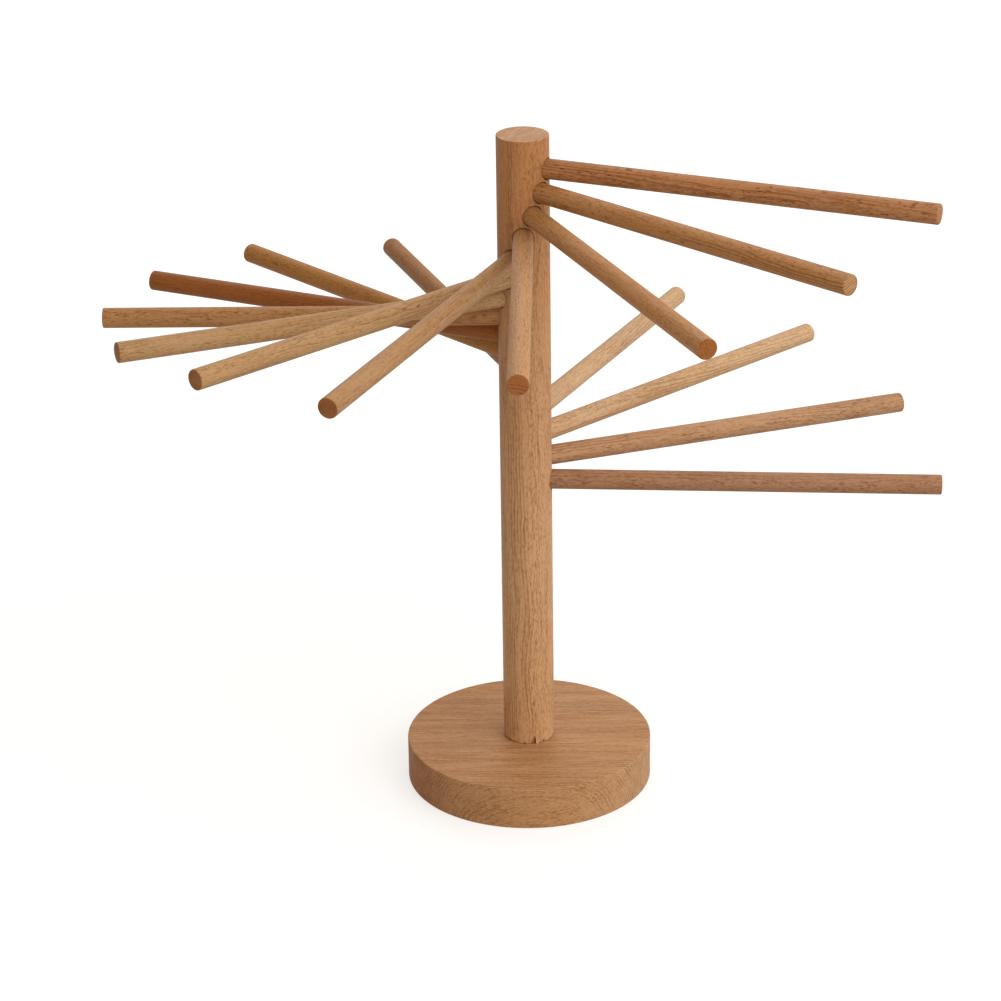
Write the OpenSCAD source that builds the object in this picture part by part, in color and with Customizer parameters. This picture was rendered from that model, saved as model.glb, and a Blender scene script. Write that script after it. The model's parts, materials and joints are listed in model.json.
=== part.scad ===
// Wooden rack for drying fresh pasta: a round base, an upright post and a spiral of loose rods.
// The origin is at the centre of the base's underside, +Z is up and the front of the rack is -Y.
// The rods wind down the post clockwise, seen from above, and each one pulls out of its socket.
// The post unscrews from the base on a double-ended stud.

/* [Base] */
// Diameter of the round base
base_d = 120; // [100:1:150]
// Thickness of the base
base_t = 21; // [18:0.5:30]
// Eased edge of the base, across each face
base_edge = 1; // [0.5:0.1:3]

/* [Post] */
// Height of the whole rack, from the table to the post's top
rack_h = 330; // [270:1:400]
// Diameter of the post
post_d = 24.8; // [20:0.1:32]
// Eased edge at the post's top and foot
post_edge = 0.4; // [0.2:0.1:1]

/* [Rods] */
// Number of rods in the spiral
rod_count = 16; // [8:1:18]
// Diameter of a rod
rod_d = 9.6; // [8:0.1:12]
// From the post's axis to a rod's free end
rod_reach = 198.5; // [140:0.5:240]
// Eased edge at both ends of a rod
rod_edge = 0.5; // [0.2:0.1:1.5]
// From the post's top down to the first rod's axis
first_drop = 15.3; // [10:0.1:30]
// Wood left between the heights of two neighbouring rods
rod_web = 0.85; // [0.6:0.05:6]
// Depth of a rod's blind socket in the post, along its axis
socket_depth = 10.5; // [8:0.1:12]
// Direction of the first rod, in degrees from +X towards +Y
first_turn = -22.5; // [-90:0.5:90]
// Degrees from one rod round to the next
turn_step = 22.65; // [18:0.05:30]

/* [Post fixing] */
// Diameter of the stud over its threads
stud_d = 6; // [5:0.5:8]
// Length of the stud's screw end, up into the post
stud_in_post = 24; // [16:1:40]
// Length of the threaded insert in the base
insert_len = 13; // [10:0.5:15]
// Wall of the insert round the stud
insert_wall = 2; // [1.5:0.1:3]
// Width of the insert's rim beyond its body
rim_w = 2; // [1:0.1:3]
// Thickness of the insert's rim
rim_t = 1; // [0.6:0.1:2]
// Wall of the insert round its hexagonal key recess, at the flats
hex_wall = 1.6; // [1:0.1:1.8]
// Depth of the key recess
hex_depth = 4; // [2:0.1:6]

/* [Hidden] */

// Clearance all round a rod in its socket, the stud in its hole and the insert in the base
slip = 0.05;
// Space left past the blind end of what sits in a hole
end_gap = 0.3;
// How far a cut runs past the surface that it opens
overrun = 1;
// Chamfer on the insert and on the stud's machine end
metal_edge = 0.6;
// Length of the stud's cone point, and the diameter of its blunt tip
point_len = 5;
point_d = 1.5;
// How far the stud's machine end reaches past the insert
stud_past = 0.5;

// How far each rod's hole strays from the even spiral, sideways and upwards: the holes are bored
// by hand, and the photograph shows it, most of all on the fifth, tenth and thirteenth rods.
// Both are read off it to a fifth of a degree.
stray_turns = [0.4, -0.6, 0.2, -0.4, -1.6, 0, 1.2, 0.4, 0.6, 1, -0.6, 0, 0.4, -0.2, -0.2, -0.2];
stray_tilts = [-0.2, 0.4, -0.2, 0.2, -1.6, 0.6, 0.6, 0, 0.6, 1.2, 0.4, 0, -1.4, 0.4, -0.2, -0.6];

rod_pitch = rod_d + rod_web;
socket_floor = post_d / 2 - socket_depth;
rod_root = socket_floor + end_gap;
insert_d = stud_d + 2 * insert_wall;
stud_reach = insert_len + stud_past;
facets = 96;

function rod_name(n) = str("rod_", n < 10 ? "0" : "", n);
function stray(list, n) = n > len(list) ? 0 : list[n - 1];
function rod_z(n) = rack_h - first_drop - (n - 1) * rod_pitch;
function rod_turn(n) = first_turn - (n - 1) * turn_step + stray(stray_turns, n);

// A round bar standing on Z = 0, its two edges eased by a chamfer
module turned(d, h, edge) {
    r = d / 2;
    rotate_extrude($fn = facets)
        polygon([[0, 0], [r - edge, 0], [r, edge], [r, h - edge], [r - edge, h], [0, h]]);
}

// Puts its children, drawn up along +Z from the origin, on the axis of rod n
module along_rod(n) {
    translate([0, 0, rod_z(n)])
        rotate([0, 90 - stray(stray_tilts, n), rod_turn(n)])
            children();
}

// The disc that stands on the table, with the blind hole for the insert in its top
module base() {
    color("burlywood")
        difference() {
            turned(base_d, base_t, base_edge);
            translate([0, 0, base_t - stud_reach - end_gap])
                cylinder(d = insert_d + 2 * slip, h = stud_reach + end_gap + overrun, $fn = facets);
            translate([0, 0, base_t - rim_t - slip])
                cylinder(d = insert_d + 2 * (rim_w + slip), h = rim_t + overrun, $fn = facets);
        }
}

// The steel insert screwed into the base, its rim let in flush, with a recess for a hexagonal key
module insert_nut() {
    color("silver")
        translate([0, 0, base_t - insert_len])
            difference() {
                union() {
                    turned(insert_d, insert_len, metal_edge);
                    translate([0, 0, insert_len - rim_t])
                        cylinder(d = insert_d + 2 * rim_w, h = rim_t, $fn = facets);
                }
                translate([0, 0, -overrun])
                    cylinder(d = stud_d + 2 * slip, h = insert_len + 2 * overrun, $fn = facets);
                translate([0, 0, insert_len - hex_depth])
                    cylinder(r = (insert_d / 2 - hex_wall) / cos(30), h = hex_depth + overrun, $fn = 6);
            }
}

// The double-ended stud: a machine end down in the insert, a pointed screw end up in the post
module stud() {
    r = stud_d / 2;
    total = stud_reach + stud_in_post;
    color("gray")
        translate([0, 0, base_t - stud_reach])
            rotate_extrude($fn = facets)
                polygon([[0, 0], [r - metal_edge, 0], [r, metal_edge], [r, total - point_len],
                         [point_d / 2, total], [0, total]]);
}

// The upright post, with a blind socket for each rod and the stud's hole in its foot
module post() {
    color("peru")
        difference() {
            translate([0, 0, base_t])
                turned(post_d, rack_h - base_t, post_edge);
            translate([0, 0, base_t - overrun])
                cylinder(d = stud_d + 2 * slip, h = stud_in_post + end_gap + overrun, $fn = facets);
            for (n = [1 : rod_count])
                along_rod(n)
                    translate([0, 0, socket_floor])
                        cylinder(d = rod_d + 2 * slip, h = socket_depth + overrun, $fn = facets);
        }
}

// One of the loose rods that the pasta hangs over
module rod(n) {
    color("tan")
        along_rod(n)
            translate([0, 0, rod_root])
                turned(rod_d, rod_reach - rod_root, rod_edge);
}

base();
insert_nut();
stud();
post();
for (n = [1 : rod_count])
    rod(n);
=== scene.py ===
# %% [markdown]
# # A wooden rack for drying fresh pasta
# The real rack is plain oiled beech: a thick round base, a post as thick as a broom handle, and
# sixteen thin rods pushed into holes that wind down the post. There is no paint and no moulding, so
# everything that makes it look real is in the wood: its growth lines, the short brown flecks that
# only beech has, its end grain, and edges broken by a few strokes of sandpaper.
#
# The sizes are already settled by the CAD model. This script loads that model as a fixed frame and
# makes a finer piece in the place of each of its parts.

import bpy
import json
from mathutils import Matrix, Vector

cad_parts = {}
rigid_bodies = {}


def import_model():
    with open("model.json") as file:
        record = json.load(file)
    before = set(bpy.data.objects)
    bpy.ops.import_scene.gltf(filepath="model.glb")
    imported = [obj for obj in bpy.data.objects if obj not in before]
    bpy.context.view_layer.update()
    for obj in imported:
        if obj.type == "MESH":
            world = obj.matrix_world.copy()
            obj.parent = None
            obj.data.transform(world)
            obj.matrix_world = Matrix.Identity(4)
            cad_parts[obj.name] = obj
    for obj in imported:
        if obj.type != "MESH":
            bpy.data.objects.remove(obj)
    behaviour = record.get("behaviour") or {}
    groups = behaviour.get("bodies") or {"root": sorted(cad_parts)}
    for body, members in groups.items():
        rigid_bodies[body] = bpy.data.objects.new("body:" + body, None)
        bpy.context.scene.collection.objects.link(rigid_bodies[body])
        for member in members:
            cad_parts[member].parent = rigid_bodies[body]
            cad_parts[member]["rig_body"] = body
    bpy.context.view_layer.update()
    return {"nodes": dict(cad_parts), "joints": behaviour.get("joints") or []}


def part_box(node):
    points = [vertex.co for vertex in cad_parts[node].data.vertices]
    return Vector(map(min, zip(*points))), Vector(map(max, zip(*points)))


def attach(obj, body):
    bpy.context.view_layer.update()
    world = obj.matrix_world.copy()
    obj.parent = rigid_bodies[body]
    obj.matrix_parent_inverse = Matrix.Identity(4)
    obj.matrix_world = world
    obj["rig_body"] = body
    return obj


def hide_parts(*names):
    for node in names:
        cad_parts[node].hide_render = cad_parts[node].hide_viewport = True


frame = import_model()

# %% [markdown]
# ## Tools and units
# Blender counts in metres and a woodworker in millimetres, so one name for a millimetre keeps every
# size readable. A colour picked on a screen is an sRGB colour, and a shader wants it linear,
# so one short function does that sum.

# %% Tools and units
import json
import math
import random

import bmesh
import bpy
from mathutils import Euler, Matrix, Vector

MM = 0.001
UP = Vector((0, 0, 1))


def screen(red, green, blue):
    """A linear colour from the 0 to 255 values that a screen shows."""
    def linear(part):
        share = part / 255
        return share / 12.92 if share <= 0.04045 else ((share + 0.055) / 1.055) ** 2.4
    return (linear(red), linear(green), linear(blue), 1.0)


print("mid grey on a screen is", round(screen(128, 128, 128)[0], 3), "in a shader")

# %% [markdown]
# ## The camera
# The photograph was taken from the front, a metre and a half away and well above the rack, with a
# long lens: the rods near the lens are only a little thicker than those behind. The place, the
# turns and the focal length come from matching the rod ends, the post and the base. The focal
# length is counted in pixels of a picture 1001 wide, and becomes a lens by way of the sensor width.

# %% The camera
PICTURE_PX = 1001
FOCAL_PX = 3405.0
CAMERA_AWAY = 1503.6 * MM
CAMERA_UP = 797.4 * MM
CAMERA_DOWN_DEG = 23.406
CAMERA_PAN_DEG = 0.476
CAMERA_ROLL_DEG = -0.833


def make_camera():
    """Puts the camera in front of the rack, looking down at it."""
    data = bpy.data.cameras.new("camera")
    data.sensor_width = 36.0
    data.lens = FOCAL_PX / PICTURE_PX * data.sensor_width
    made = bpy.data.objects.new("camera", data)
    bpy.context.scene.collection.objects.link(made)
    level = Euler((math.radians(90 - CAMERA_DOWN_DEG), 0, math.radians(CAMERA_PAN_DEG)), "XYZ")
    roll = Matrix.Rotation(math.radians(CAMERA_ROLL_DEG), 4, "Z")
    place = Matrix.Translation((0, -CAMERA_AWAY, CAMERA_UP))
    made.matrix_world = place @ level.to_matrix().to_4x4() @ roll
    bpy.context.scene.camera = made
    return made


camera = make_camera()
print("lens", round(camera.data.lens, 1), "mm")

# %% [markdown]
# ## Shader sums written as Python
# A wood shader is mostly arithmetic on a few numbers: how far along the grain, how far from the
# tree's heart, how dark. Built by hand, node by node, the idea gets lost, so a small class wraps
# one output of a node. Adding or multiplying two of these adds the Math node that does it, and
# every other kind of node comes from one method.

# %% A node's output that can be added and multiplied
class Signal:
    """One output of a shader node."""

    def __init__(self, tree, socket=None):
        self.tree = tree
        self.socket = socket

    def node(self, kind, settings=None, inputs=None, output=0):
        """Adds a node: its settings first, then the values or links of its sockets."""
        made = self.tree.nodes.new(kind)
        for name, value in (settings or {}).items():
            setattr(made, name, value)
        for name, value in (inputs or {}).items():
            if isinstance(value, Signal):
                self.tree.links.new(value.socket, made.inputs[name])
            else:
                made.inputs[name].default_value = value
        return Signal(self.tree, made.outputs[output] if made.outputs else None)

    def other(self, output):
        """Another output of the same node."""
        return Signal(self.tree, self.socket.node.outputs[output])

    def maths(self, operation, *values):
        return self.node("ShaderNodeMath", {"operation": operation}, dict(enumerate(values)))

    def __add__(self, value):
        return self.maths("ADD", self, value)

    def __sub__(self, value):
        return self.maths("SUBTRACT", self, value)

    def __rsub__(self, value):
        return self.maths("SUBTRACT", value, self)

    def __mul__(self, value):
        return self.maths("MULTIPLY", self, value)

    def __truediv__(self, value):
        return self.maths("DIVIDE", self, value)

    def __pow__(self, value):
        return self.maths("POWER", self, value)

    __radd__ = __add__
    __rmul__ = __mul__


def new_material(name):
    """An empty material, and a signal to start its nodes from."""
    material = bpy.data.materials.new(name)
    material.use_nodes = True
    material.node_tree.nodes.clear()
    return material, Signal(material.node_tree)


# %% [markdown]
# Three more helpers say what they do by name: `ramp` turns a number into a soft step from 0 to 1,
# `stain` tints a colour by multiplying it, as a thin brown wash would, and `noise` reads Blender's
# cloudy noise on coordinates that were stretched first. Wood is much the same in every direction
# across the grain and quite different along it, so stretching is what turns clouds into fibres.

# %% Ramp, stain and stretched noise
def ramp(value, start, end):
    """0 at start and 1 at end, with a soft step between them."""
    settings = {"interpolation_type": "SMOOTHSTEP"}
    limits = {"Value": value, "From Min": start, "From Max": end}
    return value.node("ShaderNodeMapRange", settings, limits)


def stain(share, colour, red, green, blue):
    """The colour where share is 0, and the colour times these three parts where it is 1."""
    settings = {"data_type": "RGBA", "blend_type": "MULTIPLY"}
    washes = {0: share, 6: colour, 7: (red, green, blue, 1)}
    return share.node("ShaderNodeMix", settings, washes, output=2)


def noise(where, along, round_about, outwards, detail=0.0):
    """Cloudy noise about zero. Its clouds have these sizes, in the coordinates' own unit."""
    cells = (1 / along, 1 / round_about, 1 / outwards)
    scaled = where.node("ShaderNodeVectorMath", {"operation": "MULTIPLY"}, {0: where, 1: cells})
    inputs = {"Vector": scaled, "Scale": 1, "Detail": detail}
    return scaled.node("ShaderNodeTexNoise", None, inputs) - 0.5


# %% [markdown]
# ## Beech, as a solid block
# A picture of wood wrapped round a rod would show the same grain on its side and on its end. Real
# grain fills the wood: a tree is a stack of cones, and each piece is cut from somewhere in it. So
# the material is a block of beech, and a piece shows whatever its surface happens to cut.
#
# The block is measured in millimetres along the grain, round the tree, and outwards from its heart.
# A Mapping node turns each piece's own coordinates that way round. Slow noise bends the block,
# since no tree is straight, and a smaller ripple makes its fibres wander.

# %% Where a point lies in the tree
def block_place(start, turn, centre, heart):
    """How far along the grain a point lies, and how far to the side and above the tree's heart."""
    place = start.node("ShaderNodeTexCoord", output="Object")
    laid = {"Vector": place, "Location": centre, "Rotation": turn, "Scale": (MM, MM, MM)}
    block = place.node("ShaderNodeMapping", {"vector_type": "TEXTURE"}, laid)
    along = block.node("ShaderNodeSeparateXYZ", None, {0: block})
    return along, along.other("Y") + heart, along.other("Z")


def tree_place(along, side, up, run_out):
    """A point's place along, round and out in a tree that is not quite straight."""
    where = along.node("ShaderNodeCombineXYZ", None, {"X": along, "Y": side, "Z": up})
    bend = noise(where, 60, 22, 22, detail=1) * 5
    ripple = noise(where, 7, 3, 3) * 0.7
    out = (side * side + up * up) ** 0.5 + along * run_out + bend + ripple
    tree = {"X": along, "Y": up + bend * 0.5 + ripple, "Z": out}
    return out.node("ShaderNodeCombineXYZ", None, tree)


def faces(start, turn, side, up):
    """How far a face looks along the grain, and how far out from the heart: both 0 to 1."""
    normal = start.node("ShaderNodeTexCoord", output="Normal")
    laid = {"Vector": normal, "Rotation": turn}
    looks = normal.node("ShaderNodeMapping", {"vector_type": "TEXTURE"}, laid)
    endwise = looks.node("ShaderNodeSeparateXYZ", None, {0: looks})
    outward = endwise.other("Y") * side + endwise.other("Z") * up
    outward = outward / (side * side + up * up) ** 0.5
    return endwise.maths("ABSOLUTE", endwise), outward.maths("ABSOLUTE", outward)


# %% [markdown]
# A year's growth ends in a thin darker line, and the next year starts pale at once, so the year is
# a sawtooth: it climbs slowly and drops. Some years are strong and some hardly show, and the line
# fades in and out along the grain too.
#
# The flecks are the tree's rays, thin ribbons of brown cells that beech has more of than any other
# wood. They are islands of a noise stretched along the grain, and they come in crowds.

# %% Growth lines and flecks
YEAR_MM = 1.4


def growth_lines(grain):
    """1 on the dark line that ends a year, and 0 in the pale wood after it."""
    out = grain.node("ShaderNodeSeparateXYZ", None, {0: grain}).other("Z")
    year = out.maths("FRACT", out / YEAR_MM)
    strength = ramp(noise(grain, 60, 9, 3.4, detail=1), -0.16, 0.16)
    return year ** 3 * strength


def ray_flecks(grain):
    """The noise whose islands are flecks, and 1 inside a fleck and 0 between them."""
    cells = noise(grain, 3.0, 0.5, 2.2, detail=1)
    crowd = ramp(noise(grain, 24, 5, 5), -0.12, 0.16)
    return cells, ramp(cells, 0.08, 0.2) * (0.2 + crowd * 0.8)


print("a year's growth is", YEAR_MM, "mm wide")

# %% [markdown]
# No two boards are the same colour. A tone is the colour of the pale spring wood, and warm browns
# that multiply it make its darker parts. The colour also drifts slowly between pink and yellow, and
# it can be darker towards one end, which is painted shade on the part that the lamps reach less.
# Bare end grain is paler and less yellow than the side, but where it soaks up oil it turns brown
# and dull, and the same darkening paints shade on end faces turned away from the lamps. The
# surface's own direction, set against the grain's, tells where end grain is.
#
# Sanded beech under a thin coat of oil is nearly matt. The flecks are harder than the wood round
# them and take the light a little differently, and the fibres leave a relief of a few hundredths of
# a millimetre, which is what the Bump node is for.

# %% The beech material
YELLOW_DRIFT = (0.99, 0.94, 0.84)
LATE_WOOD = (0.6, 0.49, 0.39)
RAY_BROWN = (0.46, 0.29, 0.18)
# The tip colour is painted shade on the end of a piece that the lamps reach less. The oiled end
# colour is oil soaked into end grain and also painted shade on end faces turned from the lamps.
TIP_SHADE = (0.72, 0.55, 0.35)
OILED_AND_SHADED_END = (0.68, 0.47, 0.3)
BARE_END = (1.0, 1.09, 1.28)
RELIEF_DEEP = 0.08


def beech(name, tone, turn, centre, heart, seed, **looks):
    """A piece of beech. Turn lays the block's X along the grain, and heart is how far off the
    tree's centre is, in millimetres. The looks are shares of the usual strength, but for run_out,
    which is how far the lines climb in a millimetre, the tip, which is how much painted shade
    darkens the far end, and reach, which is how many millimetres away that is. The end look darkens
    end grain, both for its oil and as painted shade."""
    usual = {"lines": 1, "rings": 1, "dashes": 1, "flecks": 1, "ends": 1, "relief": 1}
    looks = {**usual, "run_out": 0, "tip": 0, "reach": 100, **looks}
    material, start = new_material(name)
    along, side, up = block_place(start, turn, centre, heart)
    grain = tree_place(along + seed, side, up, looks["run_out"])
    endwise, outward = faces(start, turn, side, up)
    end = ramp(endwise, 0.4, 0.98)
    flat = ramp(outward, 0.35, 0.95)
    cells, rays = ray_flecks(grain)
    fibre = noise(grain, 12, 0.5, 0.5, detail=2)
    grit = noise(grain, 1.7, 0.36, 1.2)
    cloud = noise(grain, 45, 8, 8, detail=1)
    shows = 0.9 - flat * 0.55 + end * (0.4 * looks["rings"])
    lines = growth_lines(grain) * shows * looks["lines"]
    dashes = (cells * (0.4 + flat * 0.7) + grit * (0.6 + flat * 0.7)) * looks["dashes"]
    depth = 0.25 + lines + dashes + fibre * 1.4 + cloud * 0.6
    drift = ramp(noise(grain, 70, 18, 18, detail=1), -0.2, 0.2)
    far = ramp(along, -0.4 * looks["reach"], looks["reach"])
    wood = stain(drift, tone, *YELLOW_DRIFT)
    wood = stain(ramp(depth, -0.1, 1.1), wood, *LATE_WOOD)
    wood = stain(rays * (0.3 + flat * 0.3) * looks["flecks"], wood, *RAY_BROWN)
    # Painted shade: darker towards the far end of the piece.
    wood = stain(far * looks["tip"] * (1.0 - end), wood, *TIP_SHADE)
    # Oil darkens end grain, and the same stain paints shade on end faces turned from the lamps;
    # ends left bare are paler.
    oil_shade_share = far * looks["ends"]
    wood = stain(oil_shade_share * end, wood, *OILED_AND_SHADED_END)
    wood = stain((1.0 - oil_shade_share) * end, wood, *BARE_END)
    height = 0.0 - (cells + fibre * 0.5)
    relief = {"Strength": 0.5, "Distance": RELIEF_DEEP * looks["relief"] * MM, "Height": height}
    bump = height.node("ShaderNodeBump", None, relief)
    rough = 0.58 + fibre * 0.15 + rays * 0.06 + end * 0.1
    finish = {"Base Color": wood, "Roughness": rough, "Normal": bump, "Specular IOR Level": 0.25}
    shader = wood.node("ShaderNodeBsdfPrincipled", None, finish)
    shader.node("ShaderNodeOutputMaterial", None, {"Surface": shader})
    return material


# %% [markdown]
# ## A lathe
# Every piece here is round, so one helper does what a turner does: it takes half of an outline, as
# distances from the axis and heights, and spins it. Each corner that a hand would break with
# sandpaper becomes a small arc.

# %% The lathe
LATHE_STEPS = 128
ARC_STEPS = 4


def arc(distance, height, ease, first_deg, last_deg):
    """Points of an eased corner, which is part of a circle about (distance, height)."""
    turns = [first_deg + (last_deg - first_deg) * i / ARC_STEPS for i in range(ARC_STEPS + 1)]
    turns = [math.radians(t) for t in turns]
    return [(distance + ease * math.cos(t), height + ease * math.sin(t)) for t in turns]


def bar_outline(radius, low, high, ease):
    """Half the outline of a round bar with eased rims. A point close to each rim on either side
    keeps the soft shading of the rim from spreading over the flat."""
    keep = ease / 3
    lower = [(0, low), (radius - ease - keep, low), *arc(radius - ease, low + ease, ease, -90, 0)]
    upper = [*arc(radius - ease, high - ease, ease, 0, 90), (radius - ease - keep, high), (0, high)]
    return [*lower, (radius, low + ease + keep), (radius, high - ease - keep), *upper]


def lathe(outline, steps=LATHE_STEPS):
    """A bmesh made by spinning an outline of (distance from the axis, height) points."""
    turned = bmesh.new()
    chain = [turned.verts.new((distance, 0, height)) for distance, height in outline]
    edges = [turned.edges.new(pair) for pair in zip(chain, chain[1:])]
    bmesh.ops.spin(
        turned, geom=chain + edges, cent=(0, 0, 0), axis=(0, 0, 1),
        angle=2 * math.pi, steps=steps, use_merge=True,
    )
    bmesh.ops.remove_doubles(turned, verts=turned.verts, dist=MM / 1000)
    bmesh.ops.recalc_face_normals(turned, faces=turned.faces)
    return turned


print("one step of the lathe is", round(360 / LATHE_STEPS, 2), "degrees")

# %% [markdown]
# Two more helpers finish the bench. `piece` turns a bmesh into an object, smooth but for its sharp
# edges. `carve` joins or cuts one piece with another, as an exact Boolean, and keeps the cutter's
# material on the faces that it leaves: a bored hole is darker than the outside of the post.

# %% Pieces, and cutting one with another
def shade(mesh):
    """Smooth everywhere, but for edges that turn by more than 35 degrees."""
    mesh.polygons.foreach_set("use_smooth", [True] * len(mesh.polygons))
    mesh.set_sharp_from_angle(angle=math.radians(35))


def piece(name, turned, material):
    mesh = bpy.data.meshes.new(name)
    turned.to_mesh(mesh)
    turned.free()
    mesh.materials.append(material)
    shade(mesh)
    made = bpy.data.objects.new(name, mesh)
    bpy.context.scene.collection.objects.link(made)
    return made


def carve(body, operation, cutter):
    """UNION, DIFFERENCE or INTERSECT of a piece with another one, which is used up."""
    tool = body.modifiers.new("carve", "BOOLEAN")
    tool.operation = operation
    tool.solver = "EXACT"
    tool.material_mode = "TRANSFER"
    tool.object = cutter
    seen = bpy.context.evaluated_depsgraph_get()
    carved = bpy.data.meshes.new_from_object(body.evaluated_get(seen))
    body.modifiers.clear()
    body.data = carved
    shade(carved)
    bpy.data.objects.remove(cutter)
    return body


# %% [markdown]
# ## Reading a round part from the frame
# A CAD part's mesh says all there is to know about a round bar: the middle of its box lies on its
# axis, and its points give its length and its radius. The rods' axes are those of their joints.

# %% Measure a round part
def measure(node, axis):
    """Middle, half length and radius of a round CAD part that lies along this axis."""
    low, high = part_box(node)
    middle = (low + high) / 2
    offsets = [vertex.co - middle for vertex in frame["nodes"][node].data.vertices]
    half = max(abs(offset.dot(axis)) for offset in offsets)
    radius = max((offset - axis * offset.dot(axis)).length for offset in offsets)
    return middle, half, radius


def stands_for(made, node):
    """The piece takes the CAD part's place, moves with its body, and prints its size."""
    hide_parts(node)
    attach(made, frame["nodes"][node]["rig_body"])
    print(made.name, "for", node, "with", len(made.data.polygons), "faces")
    return made


post_middle, post_half, post_radius = measure("post", UP)
post_foot = post_middle.z - post_half
post_top = post_middle.z + post_half
base_low, base_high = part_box("base")
print("post", round(post_radius * 2 / MM, 2), "mm across, foot at", round(post_foot / MM, 2), "mm")

# %% [markdown]
# ## The rods
# Each rod is a dowel of planed beech with both ends eased. The blanks came from many boards, so
# each rod takes a tone, a turn of its growth lines about its axis, and a lean of its grain that
# brings the lines out of its side in long V shapes. Then come the strengths of its lines, its
# flecks, and the oil and painted shade on its outer end. The table has one row for each rod from
# the top.

# %% The rods
TONES = {
    "russet": screen(173, 123, 81),
    "toffee": screen(175, 128, 81),
    "ginger": screen(179, 130, 80),
    "fawn": screen(182, 138, 94),
    "cocoa": screen(172, 133, 91),
    "straw": screen(180, 144, 102),
    "honey": screen(169, 123, 77),
    "rust": screen(142, 83, 30),
    "umber": screen(168, 117, 57),
    "hazel": screen(152, 105, 55),
    "tan": screen(181, 141, 106),
    "cream": screen(197, 164, 128),
    "rose": screen(165, 124, 94),
    "peach": screen(197, 155, 117),
    "amber": screen(189, 145, 103),
}
# The last column is the oil and the painted shade on the rod's outer end.
ROD_LOOKS = [
    ("russet", 20, 0.02, 3.4, 2.6, 0.1),
    ("toffee", 100, 0.01, 2.3, 1.6, 0.0),
    ("ginger", 200, 0.015, 0.5, 0.5, 1.0),
    ("fawn", 75, 0.0, 0.8, 0.7, 1.0),
    ("cocoa", 310, 0.01, 0.5, 0.6, 1.0),
    ("straw", 250, 0.03, 1.5, 1.0, 0.9),
    ("straw", 150, 0.01, 0.8, 1.0, 1.2),
    ("honey", 30, 0.0, 0.8, 1.2, 0.5),
    ("rust", 280, 0.02, 0.5, 0.6, 0.5),
    ("umber", 60, 0.01, 0.6, 0.8, 0.5),
    ("hazel", 340, 0.02, 0.8, 1.1, 0.5),
    ("tan", 120, 0.01, 0.8, 1.0, 0.5),
    ("cream", 230, 0.01, 0.6, 0.4, 0.5),
    ("cream", 85, 0.05, 1.2, 0.5, 0.5),
    ("tan", 15, 0.02, 1.5, 1.6, 0.2),
    ("rose", 190, 0.01, 1.0, 1.2, 0.5),
]
ROD_EASE = 0.6 * MM
ROD_HEART_MM = 45.0
ROD_SEED = 137.0
ROD_STEPS = 64


def rod_axis(number):
    """The direction in which this rod points, away from the post."""
    joint = next(j for j in frame["joints"] if j["child"] == f"rod_{number:02d}")
    return Vector(joint["axis"]).normalized()


def aim(turned, axis, middle):
    """Lays something turned on the lathe along this axis."""
    bmesh.ops.rotate(turned, verts=turned.verts, matrix=UP.rotation_difference(axis).to_matrix())
    bmesh.ops.translate(turned, verts=turned.verts, vec=middle)
    return turned


def make_rod(number):
    """The rod of this number, along the axis of its joint."""
    name = f"rod_{number:02d}"
    axis = rod_axis(number)
    middle, half, radius = measure(name, axis)
    tone, ring_turn, run_out, lines, flecks, ends = ROD_LOOKS[number - 1]
    turn = (math.radians(ring_turn), -math.asin(axis.z), math.atan2(axis.y, axis.x))
    wood = beech(
        f"beech_{name}", TONES[tone], turn, middle, ROD_HEART_MM,
        seed=number * ROD_SEED, run_out=run_out, lines=lines, flecks=flecks, ends=ends,
    )
    turned = aim(lathe(bar_outline(radius, -half, half, ROD_EASE), ROD_STEPS), axis, middle)
    return stands_for(piece(f"{name}_dowel", turned, wood), name)


rods = [make_rod(number) for number in range(1, len(ROD_LOOKS) + 1)]

# %% [markdown]
# ## The post
# The post is a stouter dowel. Its sockets are bored, and round the foot of each rod there is a thin
# dark line of shade in the slight gap at the socket's mouth. So the bored faces get a material of
# their own, which is rougher and streaked, and darker as painted shade.

# %% Bored wood, darkened as painted shade
def make_bore_shade():
    """Bored beech: darker, as painted shade, and rougher, with streaks where the bit rubbed."""
    material, start = new_material("bored_beech_painted_shade")
    place = start.node("ShaderNodeTexCoord", output="Object")
    marks = noise(place, 0.9 * MM, 0.9 * MM, 0.35 * MM, detail=2)
    wood = stain(ramp(marks, -0.25, 0.25), screen(134, 68, 36), 0.5, 0.4, 0.32)
    finish = {"Base Color": wood, "Roughness": 0.8}
    shader = wood.node("ShaderNodeBsdfPrincipled", None, finish)
    shader.node("ShaderNodeOutputMaterial", None, {"Surface": shader})
    return material


bore_shade = make_bore_shade()
print("scorched wood has", len(bore_shade.node_tree.nodes), "nodes")

# %% [markdown]
# The saw that cut the post to length left its foot ragged. Its rim is lifted by small uneven steps,
# and the faces behind them take a darker colour, which paints the shade in those small recesses. At
# the front a chip has come out: one wedge is cut away in the same darker colour, painted shade in
# the notch, and beside it a thin splinter of pale wood stands up, its paleness a painted highlight.
# Both are hulls round four corners.

# %% The post's blank and its ragged foot
POST_EASE = 0.4 * MM
POST_HEART_MM = 60.0
FOOT_RAGGED = 1.3 * MM
CHIP_TURN_DEG = -78.0
CHIP = [(0.3, -3.4, -1), (0.5, 1.5, -1), (-1.5, 1.1, -1), (0.2, 0.3, 5.6)]
SPLINTER = [(0.4, 1.0, 0.1), (0.1, 2.4, 0.1), (-0.8, 1.6, 0.1), (0.2, 0.6, 4.4)]


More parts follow.
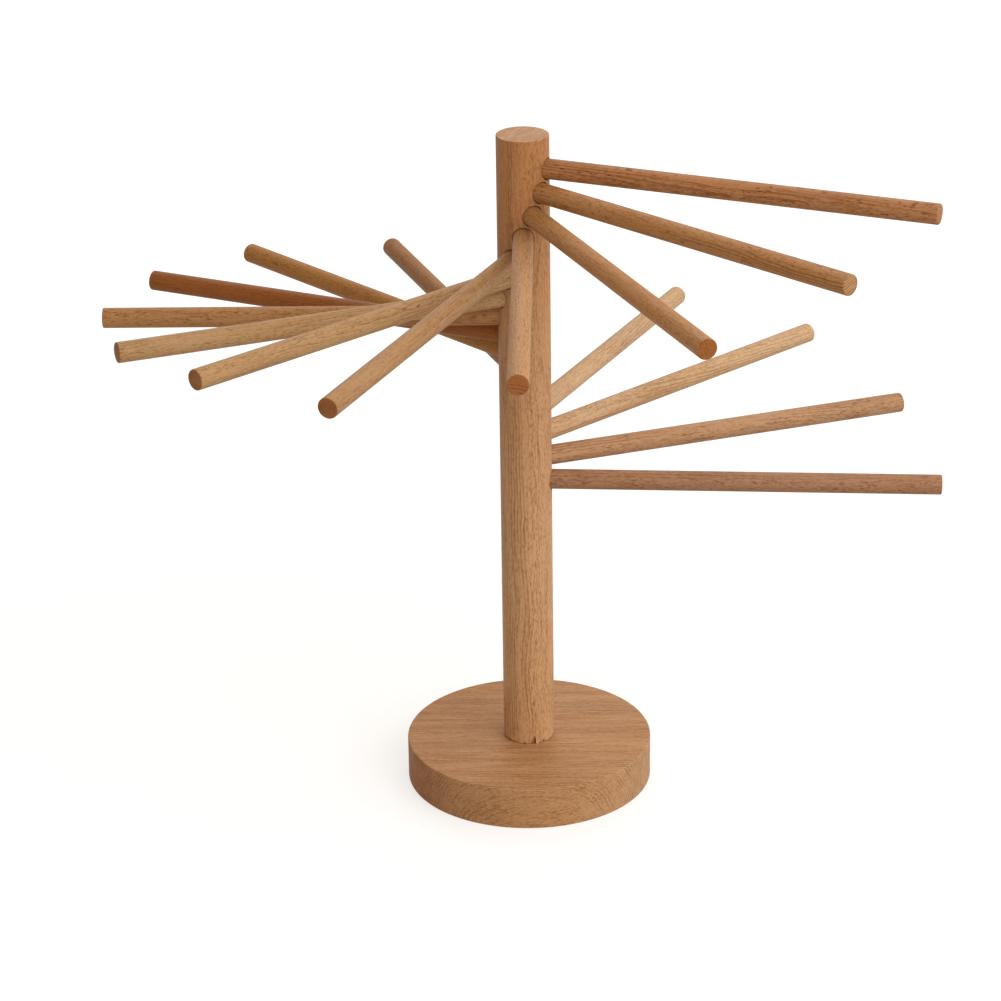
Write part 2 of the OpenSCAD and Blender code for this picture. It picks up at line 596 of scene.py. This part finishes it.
def fray_foot(turned):
    """Lifts the points of the foot's rim by small uneven steps, two points to a step. The faces
    that this uncovers take the second material, whose darker colour paints shade there."""
    chance = random.Random(4)
    steps = [chance.random() ** 2 * FOOT_RAGGED for _ in range(LATHE_STEPS // 2 + 1)]
    rim = [vert for vert in turned.verts if vert.co.xy.length > post_radius - 1.2 * POST_EASE]
    for vert in rim:
        if vert.co.z < post_foot + 1.5 * POST_EASE:
            turn = math.degrees(math.atan2(vert.co.y, vert.co.x))
            vert.co.z += steps[round(turn / 360 * LATHE_STEPS) % LATHE_STEPS // 2]
    for face in turned.faces:
        lifted = sum(vert in rim for vert in face.verts)
        low = min(vert.co.z for vert in face.verts) < post_foot + MM / 100
        face.material_index = 1 if lifted == 2 and low else 0


def make_post_blank():
    turn = (math.radians(-120), math.radians(-90), 0)
    # Painted shade: the post darkens towards its top, where the rods hang over it.
    wood = beech(
        "beech_post", TONES["peach"], turn, post_middle, POST_HEART_MM, seed=11.0, run_out=0.012,
        lines=1.3, dashes=1.0, flecks=0.6, ends=0.15, tip=0.85, reach=150,
    )
    turned = lathe(bar_outline(post_radius, post_foot, post_top, POST_EASE))
    fray_foot(turned)
    made = piece("post_dowel", turned, wood)
    made.data.materials.append(break_shade)
    return made


def wedge(name, corners, material):
    """A sliver at the post's foot. Each corner is so many millimetres out from the post's side, to
    the right and up from its foot."""
    turned = bmesh.new()
    for out, right, rise in corners:
        turned.verts.new((post_radius + out * MM, right * MM, post_foot + rise * MM))
    bmesh.ops.convex_hull(turned, input=turned.verts)
    turn = Matrix.Rotation(math.radians(CHIP_TURN_DEG), 4, "Z")
    bmesh.ops.transform(turned, matrix=turn, verts=turned.verts)
    bmesh.ops.recalc_face_normals(turned, faces=turned.faces)
    return piece(name, turned, material)


sliver = {"turn": (0, math.radians(-90), 0), "centre": (0, 0, 0), "heart": POST_HEART_MM}
# Painted shade: the darker colour of the foot's recesses and of the chip.
break_shade = beech("break_painted_shade", screen(152, 102, 68), **sliver, seed=5.0, flecks=0.0)
post = make_post_blank()
# Painted highlight: the splinter's pale colour.
splinter_highlight = beech("splinter_painted_highlight", screen(214, 176, 138), **sliver, seed=6.0, flecks=0.0)
carve(post, "DIFFERENCE", wedge("chip", CHIP, break_shade))
carve(post, "UNION", wedge("splinter", SPLINTER, splinter_highlight))
print("post blank", len(post.data.polygons), "faces")

# %% [markdown]
# Each socket is bored along its own rod, and stops just short of the middle of the post. Less than
# a millimetre of wood parts it from its neighbours above and below. Its mouth opens in a slight
# cone, a hair wider than the rod, which leaves the gap where the dark line of shade falls; the
# bored faces' dark colour paints more shade there. The last hole, up the foot, is the stud's.

# %% Bored holes
SOCKET_SLIP = 0.05 * MM
SOCKET_FLOOR = 1.9 * MM
MOUTH_DEEP = 2.2 * MM
MOUTH_WIDER = 0.45 * MM
STUD_RADIUS = 3.0 * MM
STUD_HOLE_TOP = 45.3 * MM


def bore_socket(number):
    """Cuts one rod's socket, with its mouth eased by a slight cone."""
    axis = rod_axis(number)
    middle, _, radius = measure(f"rod_{number:02d}", axis)
    level = Vector((axis.x, axis.y, 0)).normalized()
    centre = middle - axis * (middle.dot(level) / axis.dot(level))
    hole = radius + SOCKET_SLIP
    deep = post_radius - MOUTH_DEEP
    far = post_radius + 2 * MM
    wide = hole + MOUTH_WIDER * (far - deep) / MOUTH_DEEP
    outline = [(0, SOCKET_FLOOR), (hole, SOCKET_FLOOR), (hole, deep), (wide, far), (0, far)]
    drill = piece("drill", aim(lathe(outline, ROD_STEPS), axis, centre), bore_shade)
    carve(post, "DIFFERENCE", drill)


for number in range(1, len(rods) + 1):
    bore_socket(number)
stud_hole = [
    (0, post_foot - MM), (STUD_RADIUS + SOCKET_SLIP, post_foot - MM),
    (STUD_RADIUS + SOCKET_SLIP, STUD_HOLE_TOP), (0, STUD_HOLE_TOP),
]
carve(post, "DIFFERENCE", piece("drill", lathe(stud_hole, ROD_STEPS), bore_shade))
stands_for(post, "post")

# %% [markdown]
# ## The base
# A disc sawn from a thick board, so the grain runs from left to right through it and the left and
# right of its rim are end grain. The tree's heart lay in front of it and lower, which brings the
# growth lines up through the rim at the front in leaning arcs. A stepped hole in the top takes the
# steel insert: its mouth is wide enough for the insert's rim.

# %% The base
BASE_EASE = 0.6 * MM
BASE_HEART_MM = 75.0
BASE_HOLE_RADIUS = 5.05 * MM
BASE_HOLE_DEEP = 13.8 * MM
BASE_MOUTH_RADIUS = 7.05 * MM
BASE_MOUTH_DEEP = 1.05 * MM
BASE_MOUTH_EASE = 0.3 * MM


def base_outline(radius, top):
    """Half the outline of the disc, down into the hole for the insert and its rim."""
    ease = BASE_EASE
    keep = ease / 3
    lower = [(0, 0), (radius - ease - keep, 0), *arc(radius - ease, ease, ease, -90, 0)]
    side = [(radius, ease + keep), (radius, top - ease - keep)]
    upper = [*arc(radius - ease, top - ease, ease, 0, 90), (radius - ease - keep, top)]
    step = BASE_MOUTH_RADIUS
    shelf = top - BASE_MOUTH_DEEP
    mouth = [(step + BASE_MOUTH_EASE, top), (step, top - BASE_MOUTH_EASE), (step, shelf)]
    floor = top - BASE_HOLE_DEEP
    hole = [(BASE_HOLE_RADIUS, shelf), (BASE_HOLE_RADIUS, floor), (0, floor)]
    return [*lower, *side, *upper, *mouth, *hole]


def make_base():
    turn = (math.radians(156), 0, math.radians(180))
    # Painted shade: the base darkens towards its left, away from the lamps, on its side grain and
    # as oil on its end grain.
    wood = beech(
        "beech_base", TONES["amber"], turn, (0, -50 * MM, 10 * MM), BASE_HEART_MM, seed=3.0,
        lines=1.6, rings=0.0, dashes=1.1, flecks=0.5, ends=0.75, relief=0.5, tip=0.3, reach=58,
    )
    turned = lathe(base_outline(base_high.x, base_high.z), 2 * LATHE_STEPS)
    return stands_for(piece("base_disc", turned, wood), "base")


make_base()

# %% [markdown]
# ## Two metal parts
# Nothing in the photograph shows how the post is held, so this follows common practice: a steel
# hanger stud turned into a threaded insert that is sunk in the base. Both stay hidden until the
# rack is taken apart, and both are screws.
#
# A screw thread is one tooth's outline carried round the axis and up by one pitch a turn. The spin
# operator does both at once. Two planes then trim the ends, and filling them closes the bar.

# %% A screw thread, and zinc plate
THREAD_STEPS = 48


def thread(crest, root, pitch, low, high):
    """A threaded bar from low to high. Crest and root are its largest and smallest radius."""
    tooth = [(root, 0.0), (root, 0.1), (crest, 0.45), (crest, 0.6), (root, 0.95), (root, 1.0)]
    turned = bmesh.new()
    chain = [turned.verts.new((radius, 0, low + (share - 1) * pitch)) for radius, share in tooth]
    edges = [turned.edges.new(pair) for pair in zip(chain, chain[1:])]
    turns = math.ceil((high - low) / pitch) + 2
    rise = (0, 0, pitch / THREAD_STEPS)
    bmesh.ops.spin(
        turned, geom=chain + edges, cent=(0, 0, 0), axis=(0, 0, 1), dvec=rise,
        angle=2 * math.pi * turns, steps=THREAD_STEPS * turns,
    )
    bmesh.ops.remove_doubles(turned, verts=turned.verts, dist=MM / 1000)
    for height, side in ((low, -1), (high, 1)):
        everything = [*turned.verts, *turned.edges, *turned.faces]
        bmesh.ops.bisect_plane(
            turned, geom=everything, dist=MM / 10000, plane_co=(0, 0, height),
            plane_no=(0, 0, side), clear_outer=True,
        )
    bmesh.ops.holes_fill(turned, edges=turned.edges, sides=0)
    bmesh.ops.recalc_face_normals(turned, faces=turned.faces)
    return turned


def make_zinc(name, colour, rough):
    """Zinc plate, which is never quite even: it is duller in small clouds."""
    material, start = new_material(name)
    place = start.node("ShaderNodeTexCoord", output="Object")
    dull = noise(place, 1.5 * MM, 1.5 * MM, 1.5 * MM, detail=3)
    metal = stain(ramp(dull, -0.3, 0.3), colour, 0.78, 0.78, 0.76)
    finish = {"Base Color": metal, "Roughness": rough + dull * 0.2, "Metallic": 1.0}
    shader = metal.node("ShaderNodeBsdfPrincipled", None, finish)
    shader.node("ShaderNodeOutputMaterial", None, {"Surface": shader})
    return material


print("a thread has", THREAD_STEPS, "steps a turn")

# %% [markdown]
# ## The stud
# The stud has a machine thread below, for the insert, and a coarse wood thread above that ends in a
# point, for the post. A plain collar keeps them apart. The last cut, with the outline of the CAD
# part, tapers the point and eases the lower end.

# %% The stud
STUD_CHAMFER = 0.6 * MM
POINT_LONG = 5.0 * MM
POINT_RADIUS = 0.75 * MM
MACHINE_ROOT = 2.45 * MM
MACHINE_PITCH = 1.0 * MM
WOOD_ROOT = 2.1 * MM
WOOD_PITCH = 2.2 * MM
WOOD_THREAD_FROM = 22.0 * MM
COLLAR_RADIUS = 2.7 * MM
COLLAR_EASE = 0.2 * MM


def make_stud():
    """A hanger stud: a machine thread at the bottom and a wood thread with a point at the top."""
    zinc = make_zinc("zinc_stud", screen(198, 198, 194), 0.3)
    low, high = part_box("stud")
    middle = WOOD_THREAD_FROM
    fine = thread(STUD_RADIUS, MACHINE_ROOT, MACHINE_PITCH, low.z, middle - MM)
    stud = piece("stud_screw", fine, zinc)
    coarse = thread(STUD_RADIUS, WOOD_ROOT, WOOD_PITCH, middle, high.z)
    collar = bar_outline(COLLAR_RADIUS, middle - 2 * MM, middle + MM, COLLAR_EASE)
    carve(stud, "UNION", piece("collar", lathe(collar, THREAD_STEPS), zinc))
    carve(stud, "UNION", piece("coarse", coarse, zinc))
    outline = [
        (0, low.z), (STUD_RADIUS - STUD_CHAMFER, low.z), (STUD_RADIUS, low.z + STUD_CHAMFER),
        (STUD_RADIUS, high.z - POINT_LONG), (POINT_RADIUS, high.z), (0, high.z),
    ]
    carve(stud, "INTERSECT", piece("outline", lathe(outline, THREAD_STEPS), zinc))
    return stands_for(stud, "stud")


make_stud()

# %% [markdown]
# ## The threaded insert
# The insert is turned into the base like a screw, by a hexagon key, until its rim lies flush with
# the wood. So it starts as a coarse thread with a rim on it. The key's hole, the bore and the fine
# thread inside are then cut away one after another.

# %% The threaded insert
INSERT_RADIUS = 5.0 * MM
INSERT_ROOT = 4.3 * MM
INSERT_PITCH = 2.5 * MM
RIM_THICK = 1.0 * MM
RIM_EASE = 0.25 * MM
HEX_RADIUS = 3.926 * MM
HEX_DEEP = 4.0 * MM
BORE_RADIUS = 3.05 * MM
TAP_CREST = BORE_RADIUS + 0.35 * MM
TAP_ROOT = BORE_RADIUS - 0.1 * MM


def make_insert():
    """A screw-in insert: a coarse thread outside, a fine one inside, and a hexagon for the key."""
    zinc = make_zinc("zinc_insert", screen(196, 190, 172), 0.38)
    low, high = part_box("insert_nut")
    shelf = high.z - RIM_THICK
    body = thread(INSERT_RADIUS, INSERT_ROOT, INSERT_PITCH, low.z, shelf + MM / 2)
    insert = piece("insert_screw", body, zinc)
    rim = bar_outline(high.x, shelf, high.z, RIM_EASE)
    carve(insert, "UNION", piece("rim", lathe(rim, 2 * THREAD_STEPS), zinc))
    over = high.z + MM
    under = low.z - MM
    floor = high.z - HEX_DEEP
    key = [(0, floor), (HEX_RADIUS, floor), (HEX_RADIUS, over), (0, over)]
    carve(insert, "DIFFERENCE", piece("key", lathe(key, 6), zinc))
    bore = [(0, under), (BORE_RADIUS, under), (BORE_RADIUS, over), (0, over)]
    carve(insert, "DIFFERENCE", piece("bore", lathe(bore, THREAD_STEPS), zinc))
    tap = thread(TAP_CREST, TAP_ROOT, MACHINE_PITCH, under, floor + MM / 2)
    carve(insert, "DIFFERENCE", piece("tap", tap, zinc))
    return stands_for(insert, "insert_nut")


make_insert()

# %% [markdown]
# ## Floor and world
# The photograph's background is plain white, with no shadow. Here the floor is pale and matt, so
# that it throws light up under the rods, and it glows a little for the camera alone, less near the
# rack than far away. That leaves the rack's soft shadow and fades everything else to white.
#
# The world does the same trick. To the camera it is white. As a light it is dim and warm, as the
# shaded sides of the rods are in the photograph.

# %% Floor and world
FLOOR_GREY = (0.45, 0.45, 0.45, 1)
GLOW_NEAR = 0.62
GLOW_PER_METRE = 0.12
WORLD_WHITE = {"Color": (1, 1, 1, 1), "Strength": 1.0}
WORLD_LIGHT = {"Color": (1, 0.82, 0.62, 1), "Strength": 0.38}


def seen_by_camera(start):
    """1 for a ray that the camera sees straight, in a reflection or through glass, and else 0."""
    ray = start.node("ShaderNodeLightPath", output="Is Camera Ray")
    seen = ray.maths("MAXIMUM", ray, ray.other("Is Glossy Ray"))
    return ray.maths("MAXIMUM", seen, ray.other("Is Transmission Ray"))


def make_floor():
    """A pale square. Its glow is a colour, so that it can change with the distance."""
    grid = bmesh.new()
    bmesh.ops.create_grid(grid, x_segments=1, y_segments=1, size=5.0)
    material, start = new_material("pale_floor")
    seen = seen_by_camera(start)
    matt = seen.node("ShaderNodeBsdfDiffuse", None, {"Color": FLOOR_GREY})
    place = start.node("ShaderNodeTexCoord", output="Object")
    far = place.node("ShaderNodeVectorMath", {"operation": "LENGTH"}, {0: place}, output="Value")
    bright = seen * (far * GLOW_PER_METRE + GLOW_NEAR)
    glow = seen.node("ShaderNodeEmission", None, {"Color": bright, "Strength": 1.0})
    both = seen.node("ShaderNodeAddShader", None, {0: matt, 1: glow})
    both.node("ShaderNodeOutputMaterial", None, {"Surface": both})
    floor = piece("floor", grid, material)
    return floor


def make_world():
    world = bpy.data.worlds.new("studio")
    world.use_nodes = True
    world.node_tree.nodes.clear()
    start = Signal(world.node_tree)
    seen = seen_by_camera(start)
    soft = start.node("ShaderNodeBackground", None, WORLD_LIGHT)
    white = start.node("ShaderNodeBackground", None, WORLD_WHITE)
    light = seen.node("ShaderNodeMixShader", None, {0: seen, 1: soft, 2: white})
    light.node("ShaderNodeOutputWorld", None, {"Surface": light})
    bpy.context.scene.world = world
    return world


print("floor", make_floor().name, "and world", make_world().name)

# %% [markdown]
# ## Lamps
# The shading of the rods and the post tells where the light came from: most from the front right
# and above, some straight from the right and from behind, and a little from the front left. A low
# lamp at the front right reaches under the rods that point away there. All five are wide, since
# wide lamps cast soft shadows, and the photograph has hardly any.

# %% Lamps
LAMP_WIDE = 1.5
LAMP_AWAY = 1.6
LAMP_AIM = Vector((0, 0, 0.2))


def lamp(name, turn_deg, rise_deg, power):
    """A wide round lamp that looks at the rack. It turns about it from the right, and rises."""
    data = bpy.data.lights.new(name, "AREA")
    data.shape = "DISK"
    data.size = LAMP_WIDE
    data.energy = power
    made = bpy.data.objects.new(name, data)
    made.visible_camera = False
    bpy.context.scene.collection.objects.link(made)
    turn = math.radians(turn_deg)
    rise = math.radians(rise_deg)
    level = math.cos(rise)
    away = Vector((level * math.cos(turn), level * math.sin(turn), math.sin(rise)))
    place = LAMP_AIM + away * LAMP_AWAY
    facing = away.to_track_quat("Z", "Y").to_matrix().to_4x4()
    made.matrix_world = Matrix.Translation(place) @ facing
    print("lamp", name, [round(part, 2) for part in place])
    return made


lamp("key", -50, 40, 13)
lamp("right", 5, 15, 9.5)
lamp("low", -35, 3, 5)
lamp("front", -105, 15, 6)
lamp("back", 90, 50, 10)
bpy.context.scene.view_settings.view_transform = "Standard"
